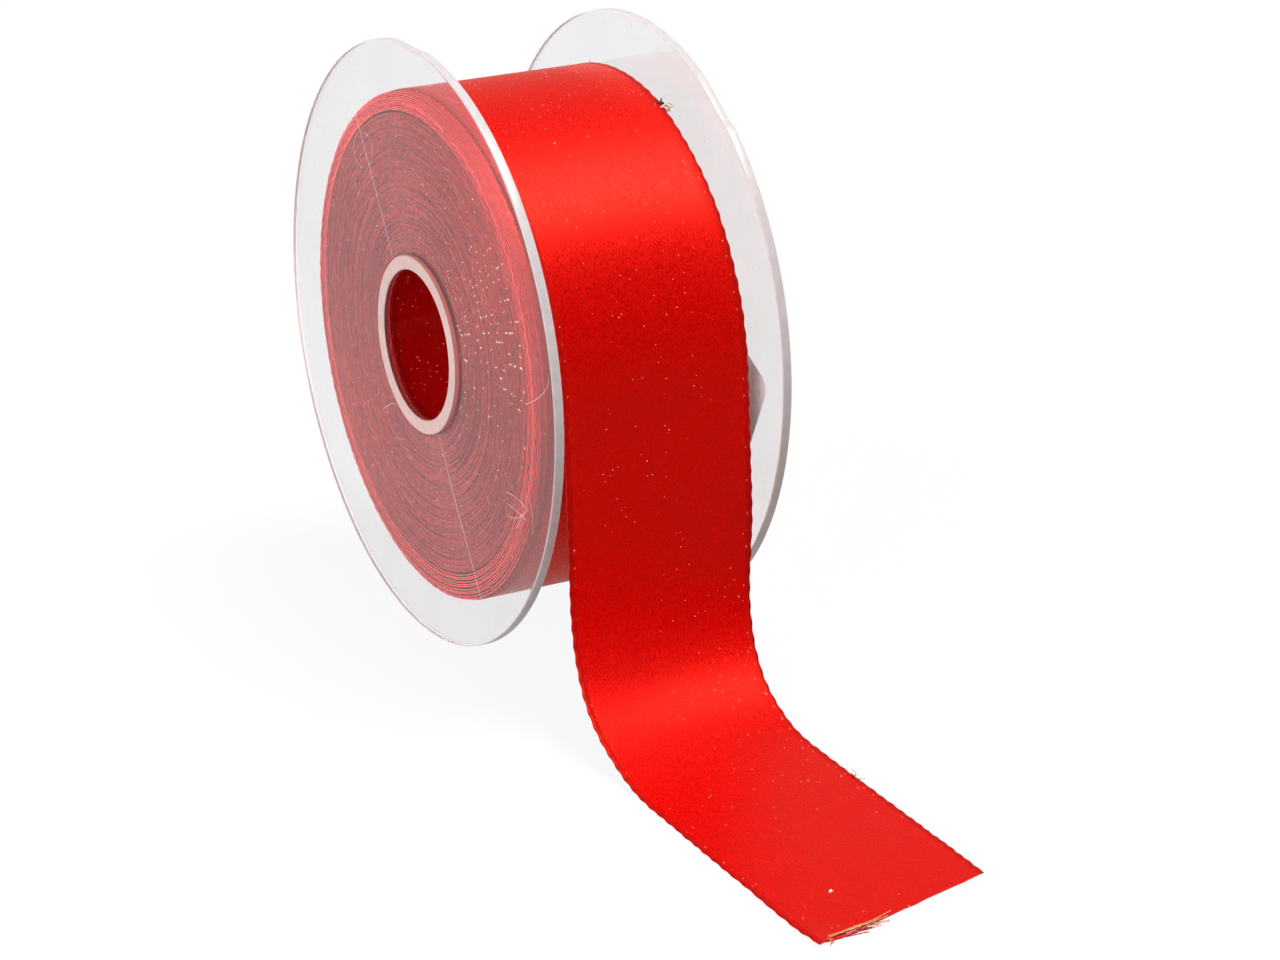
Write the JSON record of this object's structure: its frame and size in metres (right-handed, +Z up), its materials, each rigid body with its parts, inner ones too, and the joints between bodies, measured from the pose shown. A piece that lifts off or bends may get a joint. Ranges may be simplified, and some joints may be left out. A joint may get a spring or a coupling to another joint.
{
  "type": "ribbon spool",
  "caption": "Clear plastic spool of wide red satin ribbon, standing on its rims with the free end hanging down and lying on the table. The spool turns as ribbon is drawn off.",
  "frame": {"origin": "centre of the bore, halfway between the outer faces of the two discs", "axes": "+Y along the bore from the near disc to the far disc, +Z up, +X the side on which the free end of the ribbon hangs down to the table"},
  "size_m": [0.2184, 0.0515, 0.123],
  "materials": {
    "clear_plastic": "clear polystyrene, glossy, with fine scratches",
    "satin": "satin weave with a bright sheen, woven edges",
    "label_paper": "matte white sticker",
    "tape": "matte adhesive tape"
  },
  "bodies": {
    "ribbon_end": {"outer_turns": "satin", "ribbon_tail": "satin"},
    "spool": {"near_flange": "clear_plastic", "far_flange": "clear_plastic", "core_tube": "clear_plastic", "start_tape": "tape", "ribbon_roll": "satin", "label": "label_paper"}
  },
  "joints": [
    {"name": "spool_turn", "type": "hinge", "parent": "ribbon_end", "child": "spool", "pos_m": [0, 0, 0], "axis": [0, 1, 0], "continuous": true}
  ]
}
